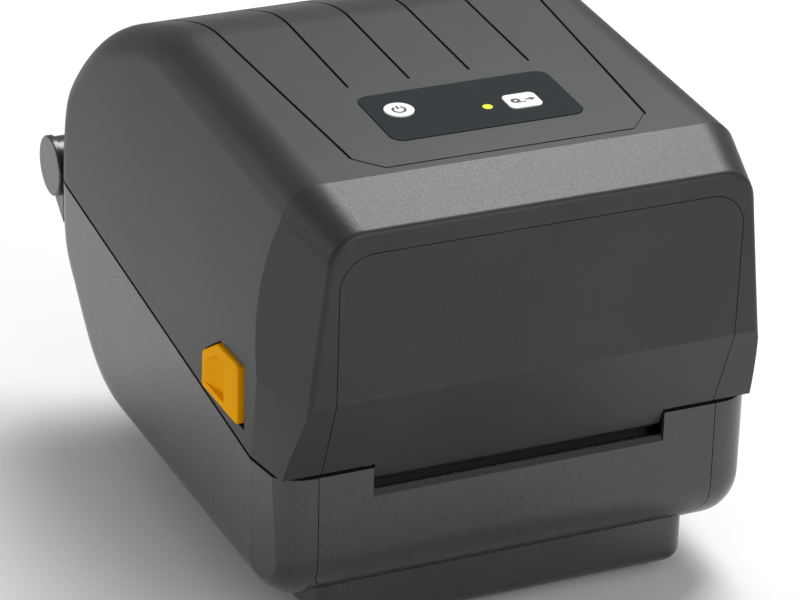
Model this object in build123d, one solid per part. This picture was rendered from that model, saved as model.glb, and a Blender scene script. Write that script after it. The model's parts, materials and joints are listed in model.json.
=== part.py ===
"""Desktop label printer with a hinged cover: one STEP file for each separate piece.

Frame: +X to the right seen from the front, +Y to the back, +Z up. The origin is on the table,
under the middle of the printer. All sizes are in millimetres.
"""
import math
import os

from build123d import *

# Overall case
case_half_width = 97.0
case_wall = 3.0
front_panel_wall = 2.5
panel_gap = 0.3
seam_gap = 1.4

# Seam between cover and base: level at the front, then rising to the back
seam_front_height = 75.0
seam_level_end_y = -97.0
seam_rise = 0.127

# Cover outline seen from the side
front_edge_y = -133.5
front_edge_height = 174.5
crease_y = -132.0
crease_height = 108.6
seam_front_y = -119.0
top_front_y = -107.4
top_front_height = 182.9
top_rear_y = 15.0
top_rear_height = 190.6
rear_face_y = 115.0
cover_rear_start_height = 121.0
cover_rear_bend = ((53.0, 183.1), (87.0, 167.2), (109.0, 144.3))

# Sides of the cover: upright, then bent inwards, then straight and leaning in
lean_start_height = 100.0
lean_end_height = 167.0
lean_radius = 324.0
shoulder_radius = 15.5
front_corner_radius = 13.0
front_corner_flare = 0.12
front_edge_radius = 2.5

# Slanted front corners, by height: side edge y, then front corner x and y
corner_stations = (
    (10.0, -96.0, 91.5, -119.5),
    (75.0, -97.0, 94.0, -119.0),
    (108.6, -102.0, 88.6, -132.0),
    (200.0, -63.5, 78.4, -134.0),
)

# Base outline seen from the side
base_front_y = -119.5
base_belly_height = 19.6
base_front_radius = 22.0
base_edge_radius = 15.0
base_rear_start_height = 88.0
base_rear_bend = ((101.0, 53.0), (79.0, 30.5))
base_rear_end_y = 44.0

# Plinth under the base
plinth_half_width = 75.0
plinth_front_y = -111.0
plinth_rear_y = 52.0
plinth_bottom = 3.0
plinth_edge_radius = 7.0
plinth_upper_wall = 3.0
plinth_lower_wall = 9.5
plinth_step_height = 12.0

# Front panels and label slot
panel_half_width_cover = 78.5
panel_half_width_base = 79.5
panel_top = 166.0
panel_corner_radius = 13.0
panel_bottom_base = 25.8
tongue_half_width = 57.8
tongue_side_gap = 0.6
tongue_bottom = 69.0
slot_height = 4.4
slot_lip = 1.8

# Grooves in the top
groove_width = 1.1
groove_depth = 1.8
cross_groove_width = 0.8
cross_groove_depth = 0.45
short_groove_x = (12.1, 36.4)
short_groove_front_y = -40.0
long_groove_front_x = 57.8
long_groove_front_y = -93.0
long_groove_rear_x = 68.5
long_groove_corner = 9.0
long_groove_cross_y = -103.0
groove_rear_y = 78.0

# Control label and keys
label_half_width = 38.0
label_front_y = -86.0
label_rear_y = -49.0
label_thickness = 0.7
label_recess = 0.45
label_corner_radius = 5.0
power_key_x = -26.5
power_key_y = -63.5
power_key_radius = 5.6
feed_key_x = 19.3
feed_key_y = -70.4
feed_key_size = (13.0, 11.0)
feed_key_corner = 2.5
key_gap = 0.3
key_proud = 0.35
key_travel = 0.8
key_flange = 1.2
light_pipe_x = 5.3
light_pipe_y = -70.8
light_pipe_radius = 1.9

# Hinge
hinge_y = 121.1
hinge_height = 99.4
hinge_cap_radius = 12.4
hinge_cap_thickness = 2.4
hinge_cap_gap = 0.1
hinge_cap_edge_radius = 0.8
knuckle_radius = 11.6
knuckle_gap = 0.6
fairing_angle = 53.0
ear_inner_x = 84.0
ear_outer_x = 94.0
knuckle_inner_x = 64.0
hinge_pin_radius = 3.0
running_clearance = 0.05

# Latches
latch_proud = 1.5
latch_inner_x = 93.6
latch_outline = ((-87.8, 83.4), (-87.8, 107.6), (-68.0, 107.2), (-53.2, 98.0), (-52.4, 83.4))
latch_corner_radius = 2.0
latch_scoop_depth = 3.2
latch_scoop_front_y = -74.5
latch_scoop_rear_y = -56.0
latch_scoop_bottom = 86.6
latch_scoop_top = 102.5
latch_travel = 3.0
latch_gap = 0.5
latch_flange_inner_x = 91.8
latch_flange_margin = 2.6
latch_flange_front_margin = 2.3
latch_bar_y = -72.0
latch_bar_height = 88.0
latch_bar_radius = 3.0
hook_inner_x = 88.5
hook_arm_width = 3.0
catch_pin_y = -76.0
catch_pin_height = 68.5
catch_pin_radius = 2.5
catch_pin_inner_x = 86.0
hook_bite = 1.7
hook_clearance = 1.0
hook_nose_height = 3.0

# Media tray
tray_half_width = 69.0
tray_thickness = 2.5
deck_height = 62.0
deck_front_y = -93.0
deck_rear_y = -46.0
bay_floor_height = 25.4
bay_front_y = -28.0
bay_flat_front_y = -8.0
bay_flat_rear_y = 50.0
tray_rise = ((69.0, 32.5), (79.0, 69.0), (110.3, 90.0))
side_cover_drop = 3.5
side_cover_thickness = 2.0
side_cover_wall = 2.0
side_cover_front_y = -86.0
side_cover_rear_y = 101.0
side_cover_lap = 4.0

# Roll holders
roll_centre_y = 20.0
roll_centre_height = 78.0
holder_inner_x = 57.5
holder_thickness = 4.0
holder_travel = 45.0
holder_head_radius = 14.0
holder_hub_radius = 9.0
holder_hub_length = 6.0
holder_foot_half_length = 14.0
neck_half_length = 4.0
neck_thickness = 3.4
slot_clearance = 0.4
foot_height = 1.6
rack_module = 1.0
holder_pinion_teeth = 16
rack_thickness = 4.5
rack_body = 4.0
rack_backlash = 0.12

# Media guides
guide_centre_y = -68.0
guide_inner_x = 56.5
guide_thickness = 2.5
guide_travel = 42.0
guide_length = 22.0
guide_height = 9.0
guide_pinion_teeth = 14

# Media sensor
sensor_y = -88.0
sensor_size = (12.0, 5.0, 7.0)
sensor_reach = 46.0

# Platen and gears
platen_y = -104.0
platen_height = 57.4
platen_rubber_radius = 7.0
platen_rubber_half_length = 57.0
platen_shaft_radius = 3.0
side_plate_inner_x = 70.0
side_plate_thickness = 1.5
bearing_radius = 5.5
bearing_flange_radius = 7.0
bearing_flange = 1.0
gear_module = 0.8
pressure_angle = 20.0
gear_backlash = 0.14
platen_gear_teeth = 26
small_idler_teeth = 16
large_idler_teeth = 44
pinion_teeth = 14
idler_angle = -35.0
pinion_angle = -45.0
inner_gear_layer = (75.0, 80.0)
outer_gear_layer = (81.5, 86.5)
idler_axle_radius = 2.0
motor_shaft_radius = 2.5
motor_half_size = 17.5
motor_length = 22.0
motor_hole_offset = 12.5
tear_bar_top = 64.6

# Print head in the cover
head_front_y = -111.0
head_rear_y = -93.0
head_half_length = 58.0
head_clearance = 0.3
ceramic_thickness = 1.2
heatsink_height = 8.0
heatsink_fin_count = 7
heatsink_fin_gap = 1.3
heatsink_fin_depth = 4.0
head_bracket_thickness = 1.5
head_pivot_y = -70.0
head_pivot_height = 78.0
head_pivot_radius = 2.0
head_spring_radius = 4.0
head_spring_wire = 0.9
head_spring_turns = 6
head_spring_x = 35.0

# Ribbon carriage in the cover
carriage_inner_x = 64.0
carriage_plate_thickness = 3.0
carriage_top = 174.0
carriage_top_thickness = 2.5
carriage_front_y = -112.0
carriage_rear_y = -26.0
supply_spindle_y = -52.0
supply_spindle_height = 116.0
takeup_spindle_y = -90.0
takeup_spindle_height = 144.0
carriage_bottom = 73.0
spring_beam_height = 90.0
spring_beam_thickness = 2.5
spring_beam_y = (-109.0, -95.0)
spindle_radius = 6.0
spindle_rib_radius = 12.3
spindle_rib_count = 6
spindle_rib_thickness = 1.6
spindle_end_gap = 0.6
spindle_journal_radius = 4.0
spindle_flange_radius = 17.0
spindle_flange_thickness = 2.0
takeup_gear_teeth = 34
middle_gear_teeth = 52
transfer_gear_teeth = 30
transfer_gear_angle = 105.0
transfer_clearance = 0.3
ribbon_axle_radius = 2.0
carriage_boss_radius = 4.0
carriage_boss_x = 50.0
carriage_boss_y = (-98.0, -36.0)

# Electronics
board_component_boxes = (
    (-20, -2, -40, -22, 1.5), (8, 20, -36, -24, 1.2), (30, 44, -20, -8, 3.5),
    (-44, -30, 12, 30, 3.5), (-12, 10, -6, 4, 2.5), (22, 40, 24, 34, 3.0),
)
socket_depth = 6.0
socket_back_wall = 1.0
inlet_proud = 1.5
inlet_body_margin = 0.5
inlet_back_wall = 1.5
inlet_pin_proud = 1.0
usb_proud = 0.6
usb_tongue_half_width = 2.8
usb_tongue_half_height = 1.6
usb_tongue_recess = 0.4
io_board_margin = 6.0
io_board_thickness = 1.4
io_board_rise = 3.0
board_thickness = 1.6
control_board_half_width = 36.0
control_board_standoff = 2.0
switch_height = 0.6
main_board_height = 9.0
main_board_half_width = 50.0
main_board_front_y = -52.0
main_board_rear_y = 42.0

# Rear sockets
recess_half_width = 42.0
recess_bottom = 44.0
recess_top = 67.0
recess_face_y = 90.0
recess_wall = 2.0
inlet_x = -22.0
inlet_radius = 4.5
inlet_bore_radius = 3.2
inlet_pin_radius = 1.0
usb_x = 16.0
usb_size = (12.2, 11.0)
socket_height = 55.0
fanfold_half_width = 57.0
fanfold_bottom = 92.6
fanfold_top = 98.0

# Underside
bottom_plate_thickness = 2.5
bottom_plate_gap = 0.3
foot_radius = 7.5
foot_x = 50.0
foot_y = (-88.0, 38.0)
screw_head_radius = 3.0
screw_radius = 1.5
screw_head_height = 1.6
bottom_screw_x = 62.0
bottom_screw_y = (-66.0, 16.0)
bottom_boss_radius = 4.5
vent_count = 9
vent_pitch = 6.0
vent_width = 2.4
vent_length = 40.0

far = 400.0
piece_count = 0


def seam_height(y):
    """Height of the middle of the seam at a depth y."""
    return seam_front_height + max(0.0, y - seam_level_end_y) * seam_rise


def block(x0, x1, y0, y1, z0, z1):
    """Box between two corners."""
    centre = Pos((x0 + x1) / 2, (y0 + y1) / 2, (z0 + z1) / 2)
    return centre * Box(abs(x1 - x0), abs(y1 - y0), abs(z1 - z0))


def rod_x(x0, x1, y, z, radius):
    """Round bar along X."""
    return Pos((x0 + x1) / 2, y, z) * Rot(0, 90, 0) * Cylinder(radius, abs(x1 - x0))


def rod_y(x, z, y0, y1, radius):
    """Round bar along Y."""
    return Pos(x, (y0 + y1) / 2, z) * Rot(90, 0, 0) * Cylinder(radius, abs(y1 - y0))


def rod_z(x, y, z0, z1, radius):
    """Round bar along Z."""
    return Pos(x, y, (z0 + z1) / 2) * Cylinder(radius, abs(z1 - z0))


def side_prism(points, x0, x1):
    """Outline in depth and height, given as (y, z) points, drawn out along X."""
    face = make_face(Polyline(*points, close=True))
    return extrude(Plane.YZ.offset(min(x0, x1)) * face, abs(x1 - x0))


def front_prism(points, y0, y1):
    """Outline in width and height, given as (x, z) points, drawn out along Y."""
    face = make_face(Polyline(*points, close=True))
    return extrude(Plane.XZ.offset(-max(y0, y1)) * face, abs(y1 - y0))


def plan_prism(points, z0, z1):
    """Outline in plan, given as (x, y) points, drawn out along Z."""
    face = make_face(Polyline(*points, close=True))
    return extrude(Plane.XY.offset(min(z0, z1)) * face, abs(z1 - z0))


def mirrored(shape):
    """The same shape on the other side of the middle plane."""
    return mirror(shape, about=Plane.YZ)


def both_sides(shape):
    """A shape and its mirror image."""
    return [shape, mirrored(shape)]


def solids_of(shapes):
    """All solids in a shape or a list of shapes."""
    items = shapes if isinstance(shapes, (list, tuple)) else [shapes]
    found = []
    for item in items:
        found.extend(item.solids())
    return found


def keep(name, shapes):
    """Write one node, which may be a group of separate solids."""
    global piece_count
    solids = solids_of(shapes)
    shape = solids[0] if len(solids) == 1 else Compound(children=solids)
    export_step(shape, f"parts/{name}.step")
    piece_count += len(solids)
    print(f"{name}: {len(solids)} solids, {sum(s.volume for s in solids) / 1000:.2f} cm3")


def offset_path(points, distance):
    """Points of an open path moved sideways, with mitred corners."""
    moved = []
    for index, (px, py) in enumerate(points):
        normals = []
        for first, second in ((index - 1, index), (index, index + 1)):
            if first >= 0 and second < len(points):
                dx = points[second][0] - points[first][0]
                dy = points[second][1] - points[first][1]
                length = math.hypot(dx, dy)
                normals.append((-dy / length, dx / length))
        nx = sum(n[0] for n in normals)
        ny = sum(n[1] for n in normals)
        scale = len(normals) / (nx * nx + ny * ny)
        moved.append((px + nx * scale * distance, py + ny * scale * distance))
    return moved


def ribbon_outline(points, thickness):
    """Closed outline of a bent sheet whose upper face follows the points, left to right."""
    return list(points) + list(reversed(offset_path(points, -thickness)))


# Case forms

def cover_outline(inset=0.0):
    """Side outline of the cover's top and back, its top line carried on forwards."""
    low = 60.0
    front_y = front_edge_y - 40.0
    slope = (top_rear_height - top_front_height) / (top_rear_y - top_front_y)
    path = [(rear_face_y, low), (front_y, low),
            (front_y, top_front_height + slope * (front_y - top_front_y)),
            (top_rear_y, top_rear_height), *cover_rear_bend,
            (rear_face_y, cover_rear_start_height), (rear_face_y, low + 1)]
    if inset:
        path = offset_path(path, -inset)
        path[0] = (rear_face_y - inset, low)
        path[1] = (front_y, low)
        path[2] = (front_y, path[2][1])
    front = Polyline(path[7], *path[:4])
    back = Spline(*path[3:8], tangents=((1, slope), (0, -1)))
    return make_face([*front.edges(), *back.edges()])


def cover_front_cut(inset=0.0):
    """Space in front of the cover's undercut, front face and sloping front strip."""
    undercut = (crease_y - seam_front_y) / (crease_height - seam_front_height)
    strip = (top_front_height - front_edge_height) / (top_front_y - front_edge_y)
    path = [(seam_front_y - undercut * seam_front_height, 0.0), (crease_y, crease_height),
            (front_edge_y, front_edge_height),
            (top_front_y + 60.0, top_front_height + 60.0 * strip)]
    if inset:
        path = offset_path(path, -inset)
    return side_prism([(-far, path[0][1]), *path, (-far, path[-1][1])], -far, far)


def base_outline(inset=0.0):
    """Side outline of the base, carried on above the seam."""
    high = 130.0
    radius = base_front_radius - inset
    front_y = base_front_y + inset
    rear_y = rear_face_y - inset
    floor_z = base_belly_height + inset
    bend = [(base_rear_end_y - 10, base_belly_height), (base_rear_end_y, base_belly_height),
            *reversed(base_rear_bend), (rear_face_y, base_rear_start_height), (rear_face_y, high)]
    if inset:
        bend = offset_path(bend, inset)
        bend[1] = (base_rear_end_y, floor_z)
        bend[-2] = (rear_y, base_rear_start_height)
    front = Line((front_y, high), (front_y, floor_z + radius))
    toe = RadiusArc(front @ 1, (front_y + radius, floor_z), -radius)
    floor = Line(toe @ 1, bend[1])
    heel = Spline(*bend[1:-1], tangents=((1, 0), (0, 1)))
    rear = Polyline(bend[-2], (rear_y, high), (front_y, high))
    return make_face([*front.edges(), *toe.edges(), *floor.edges(), *heel.edges(), *rear.edges()])


def corner_x_at(station, y):
    """Half width of a front corner station, carried on to a depth y."""
    side_y, corner_x, corner_y = station[1:]
    return corner_x + (y - corner_y) * (case_half_width - corner_x) / (side_y - corner_y)


def ring_section(y, inset):
    """Front view of the case's slanted corners and sloping strip at a depth y."""
    strip = (top_front_height - front_edge_height) / (top_front_y - front_edge_y)
    top = front_edge_height + (y - front_edge_y) * strip - inset
    low, seam, crease, high = corner_stations
    points = [(corner_x_at(s, y) - inset, s[0]) for s in (low, seam, crease)]
    upper_x = corner_x_at(high, y) - inset
    share = (top - crease[0]) / (high[0] - crease[0])
    points.append((points[2][0] + (upper_x - points[2][0]) * share, top))
    outline = points + [(-x, z) for x, z in reversed(points)]
    face = Plane.XZ.offset(-y) * make_face(Polyline(*outline, close=True))
    corners = [v for v in face.vertices() if abs(v.Z - top) < 0.01]
    radius = front_corner_radius + (y - front_edge_y) * front_corner_flare
    return fillet(corners, radius - inset)


def corner_cutter(inset=0.0):
    """Space that the slanted front corners and the sloping strip leave for the case."""
    front_y = front_edge_y - 4.0
    back_y = -60.0
    ring = loft([ring_section(front_y, inset), ring_section(back_y, inset)], ruled=True)
    return ring + block(-far / 2, far / 2, back_y, far / 2, corner_stations[0][0], far / 2)


def cover_section(inset=0.0):
    """Front view of the cover with its leaning sides, drawn out from front to back."""
    low, high = 50.0, 230.0
    side_x = case_half_width - inset
    centre_x = case_half_width - lean_radius
    lean = math.asin((lean_end_height - lean_start_height) / lean_radius)
    radius = lean_radius - inset
    bend_x = centre_x + radius * math.cos(lean)
    bend_z = lean_start_height + radius * math.sin(lean)
    top_x = bend_x - (high - bend_z) * math.tan(lean)
    upright = Line((side_x, low), (side_x, lean_start_height))
    bend = CenterArc((centre_x, lean_start_height), radius, 0, math.degrees(lean))
    upper = Polyline(bend @ 1, (top_x, high), (0, high), (0, low), (side_x, low))
    half = make_face([*upright.edges(), *bend.edges(), *upper.edges()])
    right = extrude(Plane.XZ.offset(-far / 2) * half, far)
    return right + mirrored(right)


def cover_form(inset=0.0):
    """Outer form of the cover, or the same form moved in by a wall."""
    half = case_half_width - inset
    form = extrude(Plane.YZ.offset(-half) * cover_outline(inset), 2 * half) & cover_section(inset)
    front_y = front_edge_y - 40.0
    rim = [e for e in form.edges() if abs(e.center().X) > 60 and e.center().Y > front_y + 1
           and (e.center().Z > 175 or e.center().Y > 60) and e.bounding_box().max.Z > 60.1]
    return fillet(rim, shoulder_radius - inset) - cover_front_cut(inset)


def base_form(inset=0.0, edge_radius=base_edge_radius):
    """Outer form of the base, or the same form moved in by a wall."""
    face = base_outline(inset)
    half = case_half_width - inset
    form = extrude(Plane.YZ.offset(-half) * face, 2 * half)
    if edge_radius:
        outline_edges = []
        for side in (-half, half):
            rim = form.faces().filter_by_position(Axis.X, side - 0.01, side + 0.01)[0]
            low = [e for e in rim.edges() if e.center().Z < 120 and e.center().Y > -far]
            outline_edges += [e for e in low if abs((e @ 0).Y - base_front_y - inset) > 0.05
                              or abs((e @ 1).Y - base_front_y - inset) > 0.05]
        form = fillet(outline_edges, edge_radius)
    return form


def above_seam(lift=0.0):
    """Everything above the seam, moved up by a distance."""
    level = seam_front_height + lift
    rear_y = rear_face_y + 60.0
    rear = seam_height(rear_y) + lift
    points = [(-far, level), (seam_level_end_y, level), (rear_y, rear), (rear_y, far), (-far, far)]
    return side_prism(points, -far, far)


def below_seam(drop=0.0):
    """Everything below the seam, moved down by a distance."""
    level = seam_front_height - drop
    rear_y = rear_face_y + 60.0
    rear = seam_height(rear_y) - drop
    points = [(-far, level), (seam_level_end_y, level), (rear_y, rear), (rear_y, -far), (-far, -far)]
    return side_prism(points, -far, far)


def rounded_panel(half_width, bottom, top, radius, round_top=True):
    """Front outline of a panel with two rounded corners, drawn out through the front wall."""
    plate = block(-half_width, half_width, -160, -95, bottom, top)
    level = top if round_top else bottom
    edges = [e for e in plate.edges().filter_by(Axis.Y) if abs(e.center().Z - level) < 0.01]
    return fillet(edges, radius)


def top_plane(y):
    """Plane on the cover's flat top at a depth y, its Z pointing out of the top."""
    slope = (top_rear_height - top_front_height) / (top_rear_y - top_front_y)
    height = top_front_height + slope * (y - top_front_y)
    normal = Vector(0, -slope, 1).normalized()
    return Plane(origin=(0, y, height), x_dir=(1, 0, 0), z_dir=normal)


# Cover mouldings

def edges_where(shape, test):
    """Edges whose middle point passes a test on both halves of the case."""
    return [e for e in shape.edges() if test(abs(e.center().X), e.center().Y, e.center().Z)]


def is_flat_at(edge, x):
    """True where an edge lies in the plane at x or at minus x."""
    box = edge.bounding_box()
    return abs(abs(box.min.X) - x) < 0.02 and abs(abs(box.max.X) - x) < 0.02


def cover_body():
    """Solid outer form of the cover with all its rounded edges."""
    body = (cover_form() & corner_cutter()).solids()[0]
    front = edges_where(body, lambda x, y, z: y < seam_front_y + 0.5 and x > 60
                        and crease_height + 2 < z < front_edge_height + 0.5 and abs(y) > 130)
    front += edges_where(body, lambda x, y, z: abs(y - front_edge_y) < 0.6 and x < 40
                         and abs(z - front_edge_height) < 0.6)
    return fillet(front, front_edge_radius).solids()[0]


def latch_well():
    """Pocket in the cover's side in which the left latch slides."""
    ys = [p[0] for p in latch_outline]
    zs = [p[1] for p in latch_outline]
    points = [(min(ys) - latch_travel - latch_gap, min(zs) - latch_gap),
              (min(ys) - latch_travel - latch_gap, max(zs) + latch_gap),
              (latch_outline[2][0] + latch_gap, max(zs) + latch_gap),
              (latch_outline[3][0] + latch_gap, latch_outline[3][1] + latch_gap),
              (max(ys) + latch_gap, min(zs) - latch_gap)]
    return side_prism(points, -case_half_width - 1, -latch_inner_x + latch_gap)


def groove_from(path, width, depth):
    """Narrow channel cut down into the cover's top along a path in plan."""
    left = offset_path(path, width / 2)
    right = offset_path(path, -width / 2)
    skin = cover_form(-1.0) - cover_form(depth)
    return plan_prism(left + right[::-1], 100, 220) & skin


def top_grooves():
    """Narrow channels in the cover's top and down its back, and a shallow one across the front."""
    grooves = []
    for x in short_groove_x:
        path = [(x, groove_rear_y), (x, short_groove_front_y)]
        grooves += both_sides(groove_from(path, groove_width, groove_depth))
    path = [(long_groove_rear_x, groove_rear_y), (long_groove_front_x, long_groove_front_y)]
    grooves += both_sides(groove_from(path, groove_width, groove_depth))
    path = [(long_groove_front_x, long_groove_front_y),
            (long_groove_front_x - long_groove_corner, long_groove_cross_y)]
    path += [(-x, y) for x, y in reversed(path)]
    grooves.append(groove_from(path, cross_groove_width, cross_groove_depth))
    return grooves


def label_outline_solid(grow, low, high):
    """Rounded plate on the sloping top, between two heights above it."""
    mid_y = (label_front_y + label_rear_y) / 2
    depth = label_rear_y - label_front_y + 2 * grow
    width = 2 * (label_half_width + grow)
    plate = Pos(0, 0, (low + high) / 2) * Box(width, depth, high - low)
    plate = fillet(plate.edges().filter_by(Axis.Z), label_corner_radius + grow)
    return top_plane(mid_y).location * plate


def on_top(x, y, shape):
    """A shape placed on the cover's sloping top at x and y."""
    return top_plane(y).location * (Pos(x, 0, 0) * shape)


def feed_outline(grow, low, high):
    """Rounded block of the feed key."""
    plate = Pos(0, 0, (low + high) / 2) * Box(feed_key_size[0] + 2 * grow,
                                              feed_key_size[1] + 2 * grow, high - low)
    return fillet(plate.edges().filter_by(Axis.Z), feed_key_corner + grow)


def tube_z(radius, low, high):
    """Round bar between two heights."""
    return Pos(0, 0, (low + high) / 2) * Cylinder(radius, high - low)


def key_holes(low, high):
    """Openings for the two keys and the light pipe."""
    holes = on_top(power_key_x, power_key_y, tube_z(power_key_radius + key_gap, low, high))
    holes = holes + on_top(feed_key_x, feed_key_y, feed_outline(key_gap, low, high))
    return holes + on_top(light_pipe_x, light_pipe_y,
                          tube_z(light_pipe_radius + running_clearance, low, high))


def hinge_bar(x0, x1, radius):
    """Round bar on the hinge axis."""
    return rod_x(x0, x1, hinge_y, hinge_height, radius)


def fairing_outline(way):
    """Outline, above or below the hinge, that runs from the rear wall out to the barrel it touches."""
    angle = math.radians(fairing_angle)
    touch_y = knuckle_radius * math.cos(angle)
    touch_z = knuckle_radius * math.sin(angle)
    wall_y = rear_face_y - case_wall
    rise = touch_z + (hinge_y + touch_y - wall_y) / math.tan(angle)
    return [(wall_y, hinge_height), (wall_y, hinge_height + way * rise),
            (hinge_y + touch_y, hinge_height + way * touch_z), (hinge_y, hinge_height)]


def carriage_bosses():
    """Screw bosses that hang from the cover's top down to the ribbon carriage."""
    bosses = []
    for y in carriage_boss_y:
        roof = top_plane(y).origin.Z - case_wall / 2
        for x in (-carriage_boss_x, carriage_boss_x):
            bosses.append(rod_z(x, y, carriage_top, roof, carriage_boss_radius))
    return bosses


def make_cover():
    """Cover shell and its front panel."""
    body = cover_body()
    shell = body - (cover_form(case_wall) & corner_cutter(case_wall))
    panel = body - (cover_form(front_panel_wall) & corner_cutter(front_panel_wall))
    panel = panel & rounded_panel(panel_half_width_cover, 40, panel_top, panel_corner_radius)
    tongue = block(-tongue_half_width, tongue_half_width, -160, -100, tongue_bottom, 90)
    raised = above_seam(seam_gap / 2)
    panel = panel & (raised + tongue)
    shell = shell & raised
    shell = shell - rounded_panel(panel_half_width_cover + panel_gap, 30, panel_top + panel_gap,
                                  panel_corner_radius + panel_gap)
    for groove in top_grooves():
        shell = shell - groove
    shell = shell - label_outline_solid(panel_gap, -label_recess, 3.0) - key_holes(-12, 4)
    ear_space = hinge_bar(-case_half_width - 1, -ear_inner_x + knuckle_gap / 2,
                          hinge_cap_radius + knuckle_gap)
    knuckle = hinge_bar(-ear_inner_x + knuckle_gap, -knuckle_inner_x, knuckle_radius)
    knuckle = knuckle + side_prism(fairing_outline(1), -ear_inner_x + knuckle_gap, -knuckle_inner_x)
    for shape in both_sides(latch_well()) + both_sides(ear_space):
        shell = shell - shape
    for shape in both_sides(knuckle):
        shell = shell + shape
    shell = shell - hinge_bar(-far, far, hinge_pin_radius + running_clearance)
    for boss in carriage_bosses():
        shell = shell + boss
    for shape in carriage_screw_holes():
        shell = shell - shape
    return shell.solids(), panel.solids()


def carriage_screw_holes():
    """Screws that hold the ribbon carriage up to the cover's bosses."""
    low = carriage_top - carriage_top_thickness - screw_head_height
    return [rod_z(x, y, low, carriage_top + 4.0, screw_radius)
            for y in carriage_boss_y for x in (-carriage_boss_x, carriage_boss_x)]


# Base mouldings

def base_inner(inset):
    """Inside of the base, moved in by a wall."""
    return base_form(inset, base_edge_radius - inset) & corner_cutter(inset)


def plinth(inset, low, high, edge_radius=0.0):
    """Plinth block, or the space inside its walls."""
    half = plinth_half_width - inset
    shape = block(-half, half, plinth_front_y + inset, plinth_rear_y - inset, low, high)
    if edge_radius:
        low_edges = [e for e in shape.edges() if e.center().Z < low + 0.01]
        upright = shape.edges().filter_by(Axis.Z)
        shape = fillet(low_edges + list(upright), edge_radius)
    return shape


def base_panel_zone(grow=0.0):
    """Front opening of the base for its front panel."""
    return rounded_panel(panel_half_width_base + grow, panel_bottom_base - grow, 130,
                         panel_corner_radius * 0.6 + grow, round_top=False)


def bottom_screw_places():
    """Plan positions of the bottom plate's screws."""
    return [(side * bottom_screw_x, y) for side in (-1, 1) for y in bottom_screw_y]


def screw_up(x, y, seat, length):
    """Pan head screw driven upwards, its head under the seat."""
    head = rod_z(x, y, seat - screw_head_height, seat, screw_head_radius)
    return head + rod_z(x, y, seat, seat + length, screw_radius)


def make_base():
    """Base tub and its front panel."""
    body = base_form() & corner_cutter()
    outer = body + plinth(0.0, plinth_bottom, base_belly_height + 6, plinth_edge_radius)
    space = base_inner(case_wall)
    space = space + plinth(plinth_upper_wall, plinth_step_height, base_belly_height + 8)
    space = space + plinth(plinth_lower_wall, 0.0, plinth_step_height + 1)
    motor_y, motor_z = pinion_centre()
    reach = motor_half_size + panel_gap
    space = space + block(-side_plate_inner_x - panel_gap, -side_plate_inner_x + 12,
                          motor_y - reach, motor_y + reach, plinth_step_height, 26)
    tub = (outer - space) & below_seam(seam_gap / 2)
    panel = (body - base_inner(front_panel_wall)) & base_panel_zone()
    panel = panel & below_seam(seam_gap / 2)
    slot_half = tongue_half_width + tongue_side_gap
    slot_bottom = tongue_bottom - slot_height
    slot = block(-slot_half, slot_half, -160, -100, slot_bottom, 90)
    lip = side_prism([(base_front_y - 1, slot_bottom - slot_lip - 1),
                      (base_front_y + slot_lip + 1, slot_bottom + 1),
                      (base_front_y - 1, slot_bottom + 1)], -slot_half, slot_half)
    panel = panel - slot - lip
    tub = tub - base_panel_zone(panel_gap)
    for x, y in bottom_screw_places():
        tub = tub + rod_z(x, y, plinth_bottom + bottom_plate_thickness, plinth_step_height,
                          bottom_boss_radius)
    knuckle_space = hinge_bar(-ear_inner_x, -knuckle_inner_x + knuckle_gap, knuckle_radius + knuckle_gap)
    cap_space = hinge_bar(-case_half_width - 1, -ear_outer_x, hinge_cap_radius + knuckle_gap)
    ear = hinge_bar(-ear_outer_x, -ear_inner_x, knuckle_radius)
    web = side_prism(fairing_outline(-1), -ear_outer_x, -ear_inner_x)
    for shape in both_sides(knuckle_space) + both_sides(cap_space):
        tub = tub - shape
    for shape in both_sides(ear + web):
        tub = tub + shape
    catch_pin = rod_x(-case_half_width + case_wall / 2, -catch_pin_inner_x, catch_pin_y,
                      catch_pin_height, catch_pin_radius)
    for shape in both_sides(catch_pin):
        tub = tub + shape
    tub = tub - hinge_bar(-far, far, hinge_pin_radius)
    tub = tub - block(-recess_half_width - recess_wall - panel_gap,
                      recess_half_width + recess_wall + panel_gap, recess_face_y - 8, far,
                      recess_bottom - recess_wall - panel_gap, recess_top + recess_wall + panel_gap)
    tub = tub - block(-fanfold_half_width, fanfold_half_width, rear_face_y - 8, far,
                      fanfold_bottom, fanfold_top)
    for x, y in bottom_screw_places():
        tub = tub - rod_z(x, y, 0, plinth_step_height - 1.0, screw_radius)
    return tub.solids(), panel.solids()


def make_underside():
    """Bottom plate, its screws and the rubber feet."""
    half = plinth_half_width - plinth_lower_wall - bottom_plate_gap
    front = plinth_front_y + plinth_lower_wall + bottom_plate_gap
    rear = plinth_rear_y - plinth_lower_wall - bottom_plate_gap
    top = plinth_bottom + bottom_plate_thickness
    plate = block(-half, half, front, rear, plinth_bottom, top)
    for index in range(vent_count):
        x = (index - (vent_count - 1) / 2) * vent_pitch
        plate = plate - block(x - vent_width / 2, x + vent_width / 2, -30, -30 + vent_length, 0, 10)
    for x in (-main_board_half_width + 5, main_board_half_width - 5):
        for y in (main_board_front_y + 5, main_board_rear_y - 5):
            plate = plate + rod_z(x, y, top, main_board_height, 3.0)
    screws = [screw_up(x, y, plinth_bottom, plinth_step_height - plinth_bottom - 2.0)
              for x, y in bottom_screw_places()]
    for x, y in bottom_screw_places():
        plate = plate - rod_z(x, y, 0, top + 1, screw_radius)
    feet = [rod_z(side * foot_x, y, 0, plinth_bottom, foot_radius) for side in (-1, 1) for y in foot_y]
    feet = [fillet(foot.edges().group_by(Axis.Z)[0], 1.0) for foot in feet]
    return plate.solids(), screws, feet


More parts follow.
